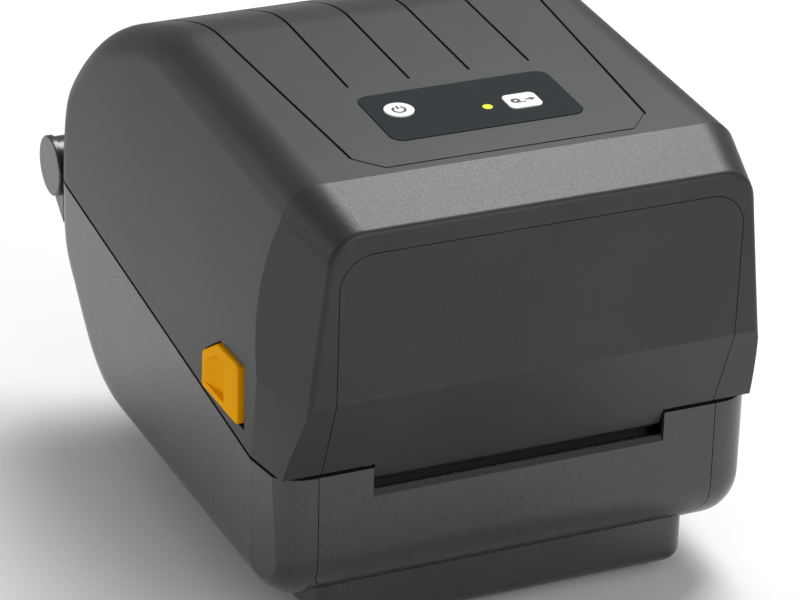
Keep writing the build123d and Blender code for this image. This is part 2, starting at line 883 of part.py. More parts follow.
def make_hinge_parts():
    """Hinge pins and the round end caps."""
    pins = both_sides(hinge_bar(-ear_outer_x, -knuckle_inner_x, hinge_pin_radius))
    cap = hinge_bar(-ear_outer_x - hinge_cap_gap - hinge_cap_thickness,
                    -ear_outer_x - hinge_cap_gap, hinge_cap_radius)
    outer = [e for e in cap.edges() if e.center().X < -ear_outer_x - hinge_cap_thickness]
    cap = fillet(outer, hinge_cap_edge_radius)
    return pins, both_sides(cap)


# Media tray, side covers and sliding pairs

def tray_path():
    """Upper face of the media tray, from the print head back to the rear slot."""
    return [(deck_front_y, deck_height), (deck_rear_y, deck_height), (bay_front_y, bay_floor_height + 6),
            (bay_flat_front_y, bay_floor_height), (bay_flat_rear_y, bay_floor_height), *tray_rise]


def rack_levels(deck):
    """Lower and upper height of the racks under a deck."""
    high = deck - tray_thickness - panel_gap - foot_height - panel_gap
    return high - rack_thickness, high


def make_tray():
    """Curved floor under the label roll, with the slots that its slides run in."""
    tray = side_prism(ribbon_outline(tray_path(), tray_thickness), -tray_half_width, tray_half_width)
    places = ((roll_centre_y, holder_inner_x, holder_thickness, holder_travel, bay_floor_height),
              (guide_centre_y, guide_inner_x, guide_thickness, guide_travel, deck_height))
    for centre_y, inner_x, thickness, travel, deck in places:
        middle = inner_x + thickness / 2
        half = neck_thickness_for(thickness) / 2 + slot_clearance
        slot = block(middle - travel - half, middle + half, centre_y - neck_half_length - slot_clearance,
                     centre_y + neck_half_length + slot_clearance, deck - 8, deck + 8)
        for shape in both_sides(slot):
            tray = tray - shape
        low = rack_levels(deck)[0]
        tray = tray + rod_z(0, centre_y, low - 1, deck - tray_thickness, idler_axle_radius)
    half = sensor_reach + sensor_size[0] / 2 + slot_clearance
    depth = sensor_size[1] / 2 + panel_gap
    tray = tray - block(-half, half, sensor_y - depth, sensor_y + depth, deck_height - 8, deck_height + 8)
    return tray.solids()


def make_side_cover():
    """Left cover between the tray and the tub's side, with a slot for the latch hook."""
    inner = tray_half_width + panel_gap
    outer = case_half_width - case_wall - panel_gap
    ys = [side_cover_front_y, side_cover_rear_y]
    drop = side_cover_drop
    top = [(y, seam_height(y) - drop) for y in ys]
    plate = side_prism(ribbon_outline(top, side_cover_thickness), -outer, -inner)
    floor = base_belly_height + case_wall + panel_gap
    path = [(y, max(z - side_cover_lap, floor)) for y, z in tray_path() if ys[0] < y < ys[1]]
    front = (ys[0], deck_height - side_cover_lap)
    last = tray_path()[-1]
    share = (ys[1] - tray_path()[-2][0]) / (last[0] - tray_path()[-2][0])
    rear_z = tray_path()[-2][1] + share * (last[1] - tray_path()[-2][1]) - side_cover_lap
    skirt_outline = [front, *path, (ys[1], rear_z), top[1], top[0]]
    skirt = side_prism(skirt_outline, -inner - side_cover_wall, -inner)
    cover = plate + skirt
    hook_y = hook_front_y() - latch_travel - hook_clearance
    return cover - block(-outer - 1, -catch_pin_inner_x + 1.7, hook_y, catch_pin_y + 4, 60, 95)


def neck_thickness_for(thickness):
    """Width of the neck under a sliding plate."""
    return min(neck_thickness, thickness)


def involute_point(base, radius, turn, side):
    """Point on a tooth flank at a radius, as an angle and that radius."""
    roll = math.sqrt(max(0.0, (radius / base) ** 2 - 1))
    return turn + side * (roll - math.atan(roll))


def gear_outline(teeth, module, phase):
    """Closed outline of a spur gear with involute flanks, centred on the origin."""
    pitch = teeth * module / 2
    base = pitch * math.cos(math.radians(pressure_angle))
    tip = pitch + module
    root = pitch - 1.25 * module
    start = max(base, root)
    half_tooth = math.pi / (2 * teeth) - gear_backlash / (2 * pitch)
    pressure = math.radians(pressure_angle)
    half_base = half_tooth + math.tan(pressure) - pressure
    steps = 5
    radii = [start + (tip - start) * i / steps for i in range(steps + 1)]
    points = []
    for tooth in range(teeth):
        centre = phase + 2 * math.pi * tooth / teeth
        rising = [(involute_point(base, r, centre - half_base, 1), r) for r in radii]
        falling = [(involute_point(base, r, centre + half_base, -1), r) for r in reversed(radii)]
        valley = centre + math.pi / teeth
        foot = half_base if base > root else half_tooth
        flank = [(centre - foot, root)] + rising + falling + [(centre + foot, root)]
        points += flank + [(valley, root)]
    return [(r * math.cos(a), r * math.sin(a)) for a, r in points]


def mesh_phase(phase, teeth, direction, other_teeth):
    """Phase that puts a second gear in mesh with a first, seen along a direction."""
    share = (direction - phase) * teeth / (2 * math.pi)
    return direction + math.pi - (2 * math.pi / other_teeth) * (0.5 - share)


def gear_x(teeth, y, z, phase, layer, bore, hub=None):
    """Spur gear about an axis along X, on the left of the printer."""
    points = [(y + py, z + pz) for py, pz in gear_outline(teeth, gear_module, phase)]
    shape = side_prism(points, -layer[1], -layer[0])
    if hub:
        shape = shape + rod_x(-hub[1], -hub[0], y, z, hub[2])
    return shape - rod_x(-far, far, y, z, bore)


def rack_bar(x0, x1, pitch_y, z0, z1):
    """Rack along X with its teeth towards +Y and a gap at the middle plane."""
    module = rack_module
    pitch = math.pi * module
    slope = math.tan(math.radians(pressure_angle))
    root_y = pitch_y - 1.25 * module
    back_y = root_y - rack_body
    half = (pitch / 2 - rack_backlash) / 2
    points = [(x1, back_y), (x1, root_y)]
    first = math.floor((x1 - pitch) / pitch - 0.5)
    last = math.ceil((x0 + pitch) / pitch - 0.5)
    for index in range(first, last - 1, -1):
        middle = (index + 0.5) * pitch
        foot = half + 1.25 * module * slope
        tip = half - module * slope
        points += [(middle + foot, root_y), (middle + tip, pitch_y + module),
                   (middle - tip, pitch_y + module), (middle - foot, root_y)]
    points += [(x0, root_y), (x0, back_y)]
    return plan_prism(points, z0, z1)


def slide_foot(centre_y, inner_x, thickness, deck, teeth):
    """Neck, foot and rack under the left one of a pair of sliding plates."""
    low, high = rack_levels(deck)
    middle = -inner_x - thickness / 2
    half = neck_thickness_for(thickness) / 2
    pitch_y = centre_y - teeth * rack_module / 2
    back_y = pitch_y - 1.25 * rack_module - rack_body
    neck = block(middle - half, middle + half, centre_y - neck_half_length, centre_y + neck_half_length,
                 high + panel_gap, deck + slot_clearance)
    foot = block(middle - half - 2, middle + half + 2, back_y, centre_y + neck_half_length,
                 high + panel_gap, high + panel_gap + foot_height)
    post = block(middle - half, middle + half, back_y, back_y + rack_body, low, high + panel_gap)
    return neck + foot + post + rack_bar(middle - half, 9.0, pitch_y, low, high)


def turned_pair(shape, centre_y):
    """Underside of the right slide: the left one turned half round its pinion."""
    return Pos(0, centre_y, 0) * (Rot(0, 0, 180) * (Pos(0, -centre_y, 0) * shape))


def slide_pinion(centre_y, teeth, deck):
    """Pinion that ties two sliding plates together."""
    low, high = rack_levels(deck)
    points = gear_outline_rack(teeth, -math.pi / 2)
    wheel = plan_prism([(x, centre_y + y) for x, y in points], low + 0.2, high - 0.2)
    return wheel - rod_z(0, centre_y, low - 5, high + 5, idler_axle_radius + running_clearance)


def gear_outline_rack(teeth, phase):
    """Outline of a pinion that runs between two racks."""
    scale = rack_module / gear_module
    return [(x * scale, y * scale) for x, y in gear_outline(teeth, gear_module, phase)]


def make_holders():
    """Left and right roll holders and their pinion."""
    x0 = -holder_inner_x - holder_thickness
    x1 = -holder_inner_x
    base_z = bay_floor_height + slot_clearance
    y0 = roll_centre_y - holder_foot_half_length
    y1 = roll_centre_y + holder_foot_half_length
    head = holder_head_radius - 2.0
    arm = side_prism([(y0, base_z), (y1, base_z), (roll_centre_y + head, roll_centre_height),
                      (roll_centre_y - head, roll_centre_height)], x0, x1)
    arm = arm + rod_x(x0, x1, roll_centre_y, roll_centre_height, holder_head_radius)
    hub = rod_x(x1, x1 + holder_hub_length, roll_centre_y, roll_centre_height, holder_hub_radius)
    hub = chamfer(hub.edges().group_by(Axis.X)[-1], 1.5)
    plate = arm + hub
    foot = slide_foot(roll_centre_y, holder_inner_x, holder_thickness, bay_floor_height,
                      holder_pinion_teeth)
    left = plate + foot
    right = mirrored(plate) + turned_pair(foot, roll_centre_y)
    return left, right, slide_pinion(roll_centre_y, holder_pinion_teeth, bay_floor_height)


def make_guides():
    """Left and right media guides and their pinion."""
    x0 = -guide_inner_x - guide_thickness
    base_z = deck_height + slot_clearance
    half = guide_length / 2
    plate = block(x0, -guide_inner_x, guide_centre_y - half, guide_centre_y + half, base_z,
                  base_z + guide_height)
    lip = block(-guide_inner_x, -guide_inner_x + 4, guide_centre_y - half, guide_centre_y + half,
                base_z + guide_height - 1.5, base_z + guide_height)
    plate = plate + lip
    foot = slide_foot(guide_centre_y, guide_inner_x, guide_thickness, deck_height, guide_pinion_teeth)
    left = plate + foot
    right = mirrored(plate) + turned_pair(foot, guide_centre_y)
    return left, right, slide_pinion(guide_centre_y, guide_pinion_teeth, deck_height)


def make_sensor():
    """Media sensor that slides across under the labels."""
    width, depth, height = sensor_size
    top = deck_height + panel_gap
    head = block(-width / 2, width / 2, sensor_y - depth / 2, sensor_y + depth / 2, top - height, top)
    under = deck_height - tray_thickness - panel_gap
    return head + block(-width / 2, width / 2, sensor_y - depth / 2 - 1.5, sensor_y + depth / 2 + 1.5,
                        under - 1.2, under)


# Platen, motor and gears

def idler_centre():
    """Centre of the double idler, in depth and height."""
    reach = (platen_gear_teeth + small_idler_teeth) * gear_module / 2
    angle = math.radians(idler_angle)
    return platen_y + reach * math.cos(angle), platen_height + reach * math.sin(angle)


def pinion_centre():
    """Centre of the motor pinion, in depth and height."""
    reach = (large_idler_teeth + pinion_teeth) * gear_module / 2
    angle = math.radians(pinion_angle)
    y, z = idler_centre()
    return y + reach * math.cos(angle), z + reach * math.sin(angle)


def side_plate_outline():
    """Outline of the steel plates that carry the platen, in depth and height."""
    foot = base_belly_height + case_wall + 0.2
    return [(platen_y + 5, foot), (platen_y - 2, foot + 4), (platen_y - 8, foot + 11),
            (platen_y - 8, platen_height + 9),
            (platen_y + 8, platen_height + 9),
            (deck_front_y + 2, deck_height - 5.5), (-55, deck_height - 5.5), (-55, foot)]


def make_print_base():
    """Side plates, front beam, bearings, platen, tear bar, motor and base gears."""
    plate_x = (side_plate_inner_x, side_plate_inner_x + side_plate_thickness)
    left_plate = side_prism(side_plate_outline(), -plate_x[1], -plate_x[0])
    right_plate = mirrored(left_plate)
    hole = rod_x(-far, far, platen_y, platen_height, bearing_radius)
    motor_y, motor_z = pinion_centre()
    idler_y, idler_z = idler_centre()
    left_plate = left_plate - hole - rod_x(-far, far, motor_y, motor_z, pinion_teeth * gear_module / 2 + 1.5)
    right_plate = right_plate - hole
    beam = block(-plate_x[0] + 0.1, plate_x[0] - 0.1, deck_front_y - 3, deck_front_y - 0.8,
                 deck_height - 20, deck_height - 3)
    bush = rod_x(-plate_x[1], -plate_x[0], platen_y, platen_height, bearing_radius)
    bush = bush + rod_x(-plate_x[1] - bearing_flange, -plate_x[1], platen_y, platen_height,
                        bearing_flange_radius)
    bush = bush - rod_x(-far, far, platen_y, platen_height, platen_shaft_radius + running_clearance)
    shaft = rod_x(-inner_gear_layer[1] - 1, plate_x[1] + 2, platen_y, platen_height, platen_shaft_radius)
    rubber = rod_x(-platen_rubber_half_length, platen_rubber_half_length, platen_y, platen_height,
                   platen_rubber_radius)
    rubber = rubber - rod_x(-far, far, platen_y, platen_height, platen_shaft_radius)
    platen_gear = gear_x(platen_gear_teeth, platen_y, platen_height, 0.0, inner_gear_layer,
                         platen_shaft_radius)
    to_idler = math.radians(idler_angle)
    idler_phase = mesh_phase(0.0, platen_gear_teeth, to_idler, small_idler_teeth)
    idler = gear_x(small_idler_teeth, idler_y, idler_z, idler_phase, inner_gear_layer,
                   idler_axle_radius + running_clearance)
    large = gear_x(large_idler_teeth, idler_y, idler_z, idler_phase, outer_gear_layer,
                   idler_axle_radius + running_clearance)
    web = rod_x(-outer_gear_layer[0], -inner_gear_layer[1], idler_y, idler_z, 5.0)
    idler = idler + large + (web - rod_x(-far, far, idler_y, idler_z, idler_axle_radius + running_clearance))
    axle = rod_x(-outer_gear_layer[1] - 1, -plate_x[1], idler_y, idler_z, idler_axle_radius)
    to_pinion = math.radians(pinion_angle)
    pinion_phase = mesh_phase(idler_phase, large_idler_teeth, to_pinion, pinion_teeth)
    pinion = gear_x(pinion_teeth, motor_y, motor_z, pinion_phase, outer_gear_layer, motor_shaft_radius)
    motor_shaft = rod_x(-outer_gear_layer[1] - 1, -plate_x[0] + panel_gap, motor_y, motor_z,
                        motor_shaft_radius)
    half = motor_half_size
    motor = block(-plate_x[0], -plate_x[0] + motor_length, motor_y - half, motor_y + half,
                  motor_z - half, motor_z + half)
    motor = chamfer(motor.edges().filter_by(Axis.X), 4.0)
    motor = motor - rod_x(-plate_x[0] - 1, -plate_x[0] + 2 * panel_gap, motor_y, motor_z,
                          motor_shaft_radius + 1)
    screws = []
    screw_z = motor_z + motor_hole_offset
    for screw_y in (motor_y - motor_hole_offset, motor_y + motor_hole_offset):
        shank = rod_x(-plate_x[1], -plate_x[0] + 4, screw_y, screw_z, screw_radius)
        left_plate = left_plate - shank
        motor = motor - shank
        head = rod_x(-plate_x[1] - screw_head_height, -plate_x[1], screw_y, screw_z, screw_head_radius)
        screws.append(head + shank)
    teeth = []
    count = int(platen_rubber_half_length)
    for index in range(-count, count):
        teeth += [(index, tear_bar_top - 1.0), (index + 0.5, tear_bar_top)]
    top = [(-count, tear_bar_top - 10.0)] + teeth + [(count, tear_bar_top - 1.0), (count, tear_bar_top - 10.0)]
    blade_y = base_front_y + front_panel_wall + 0.1
    tear_bar = front_prism(top, blade_y, blade_y + 0.8)
    return {
        "gear_side_plate": left_plate, "right_side_plate": right_plate, "front_beam": beam,
        "platen_bearings": both_sides(bush), "platen_shaft": shaft, "platen_rubber": rubber,
        "platen_gear": platen_gear, "idler_gear": idler, "idler_axle": axle,
        "motor_pinion": pinion, "motor_shaft": motor_shaft, "stepper_motor": motor,
        "motor_screws": screws, "tear_bar": tear_bar,
    }


# Latches

def hook_front_y():
    """Front face of the latch hooks."""
    return catch_pin_y - catch_pin_radius - hook_clearance - hook_arm_width


def make_latch():
    """Left latch with its finger scoop and the flange that keeps it in its well."""
    outer_x = -case_half_width - latch_proud
    body = side_prism(latch_outline, outer_x, -latch_inner_x)
    body = fillet(body.edges().filter_by(Axis.X), latch_corner_radius)
    body = chamfer(body.edges().group_by(Axis.X)[0], 0.5)
    slope_y = latch_outline[2][0]
    scoop = side_prism([(latch_scoop_front_y, latch_scoop_bottom), (latch_scoop_front_y, latch_scoop_top),
                        (slope_y, latch_scoop_top), (latch_scoop_rear_y, latch_scoop_top - 7.0),
                        (latch_scoop_rear_y, latch_scoop_bottom)], outer_x - 1, outer_x + 4)
    wedge = plan_prism([(outer_x - 1, latch_scoop_front_y), (outer_x + latch_scoop_depth, latch_scoop_front_y),
                        (outer_x, latch_scoop_rear_y), (outer_x - 1, latch_scoop_rear_y)], 60, 120)
    ys = [p[0] for p in latch_outline]
    zs = [p[1] for p in latch_outline]
    margin = latch_gap + latch_flange_margin
    flange = block(-latch_inner_x, -latch_flange_inner_x,
                   min(ys) - latch_travel - latch_gap - latch_flange_front_margin,
                   max(ys) + margin + latch_travel, min(zs) - margin, max(zs) + margin)
    return body - (scoop & wedge) + flange


def make_latch_bar():
    """Cross bar that ties the latches together, with its two hooks."""
    half = latch_bar_radius + 0.5
    front = hook_front_y()
    arm_rear = front + hook_arm_width
    tip = catch_pin_y - catch_pin_radius + hook_bite
    nose_top = catch_pin_height - catch_pin_radius - panel_gap
    nose_bottom = nose_top - hook_nose_height
    outline = [(front, nose_bottom), (tip - 1, nose_bottom), (tip, nose_bottom + 1), (tip, nose_top),
               (arm_rear, nose_top), (arm_rear, latch_bar_height - 2 * half),
               (latch_bar_y + half, latch_bar_height - half), (latch_bar_y + half, latch_bar_height + half),
               (front + 2, latch_bar_height + half), (front, latch_bar_height)]
    bar = rod_x(-hook_inner_x, hook_inner_x, latch_bar_y, latch_bar_height, latch_bar_radius)
    for hook in both_sides(side_prism(outline, -latch_flange_inner_x, -hook_inner_x)):
        bar = bar + hook
    return bar


# Ribbon carriage and print head

def ribbon_gear_centres():
    """Centres of the transfer gear and the middle gear, in depth and height."""
    reach = (large_idler_teeth + transfer_gear_teeth + 4) * gear_module / 2 + transfer_clearance
    angle = math.radians(transfer_gear_angle)
    idler_y, idler_z = idler_centre()
    low = (idler_y + reach * math.cos(angle), idler_z + reach * math.sin(angle))
    to_middle = (transfer_gear_teeth + middle_gear_teeth) * gear_module / 2
    from_middle = (takeup_gear_teeth + middle_gear_teeth) * gear_module / 2
    dy = takeup_spindle_y - low[0]
    dz = takeup_spindle_height - low[1]
    span = math.hypot(dy, dz)
    along = (span ** 2 + to_middle ** 2 - from_middle ** 2) / (2 * span)
    aside = math.sqrt(to_middle ** 2 - along ** 2)
    middle = (low[0] + (along * dy + aside * dz) / span, low[1] + (along * dz - aside * dy) / span)
    return low, middle


def make_carriage():
    """Frame that carries the ribbon, the print head and the control board."""
    outer = carriage_inner_x + carriage_plate_thickness
    plate = side_prism([(carriage_front_y, spring_beam_height - 4), (carriage_front_y + 10, carriage_bottom),
                        (carriage_rear_y - 30, carriage_bottom), (carriage_rear_y, 96.0),
                        (carriage_rear_y, carriage_top), (carriage_front_y, carriage_top)],
                       -outer, -carriage_inner_x)
    frame = block(-outer, outer, carriage_front_y, carriage_rear_y,
                  carriage_top - carriage_top_thickness, carriage_top)
    frame = frame + block(-outer, outer, *spring_beam_y, spring_beam_height,
                          spring_beam_height + spring_beam_thickness)
    for shape in both_sides(plate):
        frame = frame + shape
    hole = spindle_journal_radius + running_clearance
    frame = frame - rod_x(-far, far, supply_spindle_y, supply_spindle_height, hole)
    frame = frame - rod_x(-far, far, takeup_spindle_y, takeup_spindle_height, hole)
    frame = frame - rod_x(-far, far, head_pivot_y, head_pivot_height, head_pivot_radius)
    slot = latch_bar_radius + slot_clearance
    frame = frame - block(-far, far, latch_bar_y - latch_travel - slot, latch_bar_y + slot,
                          latch_bar_height - slot, latch_bar_height + slot)
    for x in (-control_board_half_width + 3, control_board_half_width - 3):
        for y in (-85.0, -49.0):
            frame = frame + rod_z(x, y, carriage_top, carriage_top + control_board_standoff, 2.0)
    screws = []
    seat = carriage_top - carriage_top_thickness
    for y in carriage_boss_y:
        for x in (-carriage_boss_x, carriage_boss_x):
            screws.append(screw_up(x, y, seat, carriage_top_thickness + 4.0))
            frame = frame - rod_z(x, y, seat - 1, carriage_top + 1, screw_radius)
    axles = []
    for y, z in ribbon_gear_centres():
        axles.append(rod_x(-outer_gear_layer[1] - 1, -outer, y, z, ribbon_axle_radius))
    return frame, screws, axles


def make_spindle(y, z, left_end):
    """Ribbed ribbon spindle with end flanges and journals."""
    half = carriage_inner_x - spindle_end_gap
    spindle = rod_x(-half, half, y, z, spindle_radius)
    for index in range(spindle_rib_count):
        rib = block(-half, half, 0, spindle_rib_radius, -spindle_rib_thickness / 2,
                    spindle_rib_thickness / 2)
        turned = Rot(index * 360 / spindle_rib_count, 0, 0) * rib
        spindle = spindle + Pos(0, y, z) * turned
    for x in (-half, half - spindle_flange_thickness):
        spindle = spindle + rod_x(x, x + spindle_flange_thickness, y, z, spindle_flange_radius)
    outer = carriage_inner_x + carriage_plate_thickness
    return spindle + rod_x(-left_end, outer + 1.0, y, z, spindle_journal_radius)


def make_ribbon_drive():
    """Spindles and the gears on the left of the carriage."""
    outer = carriage_inner_x + carriage_plate_thickness
    supply = make_spindle(supply_spindle_y, supply_spindle_height, outer + 1.0)
    takeup = make_spindle(takeup_spindle_y, takeup_spindle_height, outer_gear_layer[1] + 1.0)
    low, middle = ribbon_gear_centres()
    hub = (outer + 0.4, outer_gear_layer[0], 5.0)
    gear = gear_x(takeup_gear_teeth, takeup_spindle_y, takeup_spindle_height, 0.0, outer_gear_layer,
                  spindle_journal_radius, (outer + 0.4, outer_gear_layer[0], 7.0))
    to_middle = math.atan2(middle[1] - takeup_spindle_height, middle[0] - takeup_spindle_y)
    middle_phase = mesh_phase(0.0, takeup_gear_teeth, to_middle, middle_gear_teeth)
    bore = ribbon_axle_radius + running_clearance
    middle_gear = gear_x(middle_gear_teeth, *middle, middle_phase, outer_gear_layer, bore, hub)
    to_low = math.atan2(low[1] - middle[1], low[0] - middle[0])
    low_phase = mesh_phase(middle_phase, middle_gear_teeth, to_low, transfer_gear_teeth)
    transfer_gear = gear_x(transfer_gear_teeth, *low, low_phase, outer_gear_layer, bore, hub)
    return supply, takeup, gear, middle_gear, transfer_gear


def coil_path(radius, low, high, turns):
    """Middle line of a coil spring between two heights."""
    return Helix(pitch=(high - low) / turns, height=high - low, radius=radius).moved(Location((0, 0, low)))


def make_head():
    """Print head, heatsink, bracket, pivot pin and the springs that press the head down."""
    bottom = platen_height + platen_rubber_radius + head_clearance
    half = head_half_length
    ceramic = block(-half, half, head_front_y, head_rear_y, bottom, bottom + ceramic_thickness)
    sink_bottom = bottom + ceramic_thickness
    sink_top = sink_bottom + heatsink_height
    sink = block(-half, half, head_front_y, head_rear_y, sink_bottom, sink_top)
    for index in range(heatsink_fin_count):
        x = (index + 1) * 2 * half / (heatsink_fin_count + 1) - half
        sink = sink - block(x - heatsink_fin_gap / 2, x + heatsink_fin_gap / 2,
                            head_rear_y - heatsink_fin_depth, head_rear_y + 1, 0, far)
    side = carriage_inner_x - 2.0
    bracket = block(-side, side, head_front_y, head_pivot_y + 4, sink_top, sink_top + head_bracket_thickness)
    ear = side_prism([(head_pivot_y - 12, sink_top), (head_pivot_y + 4, sink_top),
                      (head_pivot_y + 4, head_pivot_height + 4), (head_pivot_y - 4, head_pivot_height + 4)],
                     -side, -side + head_bracket_thickness)
    for shape in both_sides(ear):
        bracket = bracket + shape
    bracket = bracket - rod_x(-far, far, head_pivot_y, head_pivot_height,
                              head_pivot_radius + running_clearance)
    outer = carriage_inner_x + carriage_plate_thickness
    pin = rod_x(-outer, outer, head_pivot_y, head_pivot_height, head_pivot_radius)
    spring_y = (spring_beam_y[0] + spring_beam_y[1]) / 2
    low = sink_top + head_bracket_thickness + head_spring_wire / 2
    high = spring_beam_height - head_spring_wire / 2
    path = coil_path(head_spring_radius, low, high, head_spring_turns)
    section = Plane(origin=path @ 0, z_dir=path % 0) * Circle(head_spring_wire / 2)
    coil = sweep(section, path=path, is_frenet=True)
    springs = [Pos(sign * head_spring_x, spring_y, 0) * coil for sign in (-1, 1)]
    return {"thermal_head": ceramic, "head_heatsink": sink, "head_bracket": bracket,
            "head_pivot_pin": pin, "head_springs": springs}


# Controls and electronics

def make_controls():
    """Control label, keys, light pipe and the small board under them."""
    high = label_thickness - label_recess
    label = label_outline_solid(0.0, -label_recess, high) - key_holes(-4, 4)
    roof = -case_wall - panel_gap
    switch_top = carriage_top + control_board_standoff + board_thickness + switch_height
    stem = 2.0
    keys = []
    for x, y, shape_of in ((power_key_x, power_key_y, lambda grow, a, b: tube_z(power_key_radius + grow, a, b)),
                           (feed_key_x, feed_key_y, feed_outline)):
        reach = switch_top + key_travel + 0.15 - top_plane(y).origin.Z
        body = shape_of(0.0, roof - key_flange, high + key_proud)
        flange = shape_of(key_flange, roof - key_flange, roof)
        keys.append(on_top(x, y, body + flange + tube_z(stem, reach, roof)))
    pipe_low = switch_top + 0.5 - top_plane(light_pipe_y).origin.Z
    pipe = on_top(light_pipe_x, light_pipe_y, tube_z(light_pipe_radius, pipe_low, high))
    board_low = carriage_top + control_board_standoff
    half = control_board_half_width
    board = block(-half, half, label_front_y - 2, label_rear_y + 3, board_low, board_low + board_thickness)
    for x, y in ((power_key_x, power_key_y), (feed_key_x, feed_key_y)):
        board = board + block(x - 3, x + 3, y - 3, y + 3, board_low + board_thickness, switch_top)
    board = board + block(light_pipe_x - 1.5, light_pipe_x + 1.5, light_pipe_y - 1, light_pipe_y + 1,
                          board_low + board_thickness, switch_top)
    return label, keys[0], keys[1], pipe, board


def make_electronics():
    """Main board, rear socket panel, its board and the two sockets."""
    top = main_board_height + board_thickness
    board = block(-main_board_half_width, main_board_half_width, main_board_front_y, main_board_rear_y,
                  main_board_height, top)
    for x0, x1, y0, y1, height in board_component_boxes:
        board = board + block(x0, x1, y0, y1, top, top + height)
    outer = block(-recess_half_width - recess_wall, recess_half_width + recess_wall,
                  recess_face_y - recess_wall, far, recess_bottom - recess_wall, recess_top + recess_wall)
    inner = block(-recess_half_width, recess_half_width, recess_face_y, far, recess_bottom, recess_top)
    panel = (outer - inner) & base_form()
    back_y = recess_face_y - socket_depth
    half = inlet_radius + inlet_body_margin
    inlet = rod_y(inlet_x, socket_height, recess_face_y - recess_wall, recess_face_y + inlet_proud, inlet_radius)
    inlet = inlet + block(inlet_x - half, inlet_x + half, back_y, recess_face_y - recess_wall,
                          socket_height - half, socket_height + half)
    inlet = inlet - rod_y(inlet_x, socket_height, back_y + inlet_back_wall, far, inlet_bore_radius)
    inlet = inlet + rod_y(inlet_x, socket_height, back_y + socket_back_wall, recess_face_y + inlet_pin_proud,
                          inlet_pin_radius)
    width, height = usb_size
    port = block(usb_x - width / 2, usb_x + width / 2, back_y, recess_face_y + usb_proud,
                 socket_height - height / 2, socket_height + height / 2)
    panel = panel - port
    panel = panel - rod_y(inlet_x, socket_height, recess_face_y - 5, recess_face_y + 5, inlet_radius)
    inner_half_width = width / 2 - socket_back_wall
    inner_half_height = height / 2 - socket_back_wall
    port = port - block(usb_x - inner_half_width, usb_x + inner_half_width, back_y + socket_back_wall, far,
                        socket_height - inner_half_height, socket_height + inner_half_height)
    port = port + block(usb_x - usb_tongue_half_width, usb_x + usb_tongue_half_width,
                        back_y + socket_back_wall, recess_face_y - usb_tongue_recess,
                        socket_height - usb_tongue_half_height, socket_height + usb_tongue_half_height)
    io_board = block(-recess_half_width + io_board_margin, recess_half_width - io_board_margin,
                     back_y - io_board_thickness, back_y, recess_bottom, socket_height + io_board_rise)
    return board, panel, inlet, port, io_board


def main():
    """Write every node of the printer."""
    os.makedirs("parts", exist_ok=True)
    tub, base_panel = make_base()
    keep("base_tub", tub)
    keep("base_front_panel", base_panel)
    plate, screws, feet = make_underside()
    keep("bottom_plate", plate)
    keep("bottom_screws", screws)
    keep("rubber_feet", feet)
    pins, caps = make_hinge_parts()
    keep("hinge_pins", pins)
    keep("hinge_caps", caps)
    keep("media_tray", make_tray())
    side_cover = make_side_cover()
    keep("side_cover_left", side_cover)
    keep("side_cover_right", mirrored(side_cover))
    for name, made in (("roll_holder", make_holders()), ("media_guide", make_guides())):
        keep(f"{name}_left", made[0])
        keep(f"{name}_right", made[1])
        keep(f"{name}_pinion", made[2])
    keep("media_sensor", make_sensor())
    for name, shape in make_print_base().items():
        keep(name, shape)
    board, io_panel, inlet, port, io_board = make_electronics()
    keep("main_board", board)
    keep("socket_panel", io_panel)
    keep("power_inlet", inlet)
    keep("usb_port", port)
    keep("socket_board", io_board)
    shell, cover_panel = make_cover()
    keep("cover_shell", shell)
    keep("cover_front_panel", cover_panel)
    label, power_key, feed_key, pipe, control_board = make_controls()
    keep("control_label", label)
    keep("power_key", power_key)
    keep("feed_key", feed_key)
    keep("light_pipe", pipe)
    keep("control_board", control_board)
    frame, carriage_screws, axles = make_carriage()
    keep("ribbon_carriage", frame)
    keep("carriage_screws", carriage_screws)
    keep("ribbon_axles", axles)
    supply, takeup, takeup_gear, middle_gear, transfer_gear = make_ribbon_drive()
    keep("supply_spindle", supply)
    keep("takeup_spindle", takeup)
    keep("takeup_gear", takeup_gear)
    keep("middle_gear", middle_gear)
    keep("transfer_gear", transfer_gear)
    for name, shape in make_head().items():
        keep(name, shape)
    latch = make_latch()
    keep("latch_left", latch)
    keep("latch_right", mirrored(latch))
    keep("latch_bar", make_latch_bar())
    print(f"{piece_count} solids in all")


if __name__ == "__main__":
    main()
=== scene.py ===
# %% [markdown]
# # A desktop label printer, dressed for a studio picture
# The printer comes as a set of finished solids in metres, already in place. This lesson gives every solid its own
# finish, gives the two head springs a mesh of their own, adds the printed marks on the keys, and sets up a plain
# studio with the camera where the photographer stood.

# %% Load the solids
import json
import math

import bpy
from mathutils import Matrix, Vector


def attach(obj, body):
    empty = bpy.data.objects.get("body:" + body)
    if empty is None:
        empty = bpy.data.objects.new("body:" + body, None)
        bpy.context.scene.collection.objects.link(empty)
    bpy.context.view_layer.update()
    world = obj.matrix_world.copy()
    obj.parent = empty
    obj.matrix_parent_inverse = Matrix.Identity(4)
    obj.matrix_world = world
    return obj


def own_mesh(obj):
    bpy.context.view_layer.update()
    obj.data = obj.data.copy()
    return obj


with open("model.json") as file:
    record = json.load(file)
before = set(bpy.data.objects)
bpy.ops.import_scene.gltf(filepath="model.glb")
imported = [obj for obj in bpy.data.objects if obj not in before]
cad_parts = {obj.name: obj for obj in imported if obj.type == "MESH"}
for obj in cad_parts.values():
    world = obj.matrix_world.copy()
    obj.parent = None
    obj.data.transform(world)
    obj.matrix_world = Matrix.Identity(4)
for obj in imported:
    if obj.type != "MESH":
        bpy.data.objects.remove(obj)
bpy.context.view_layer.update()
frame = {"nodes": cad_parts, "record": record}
nodes = frame["nodes"]

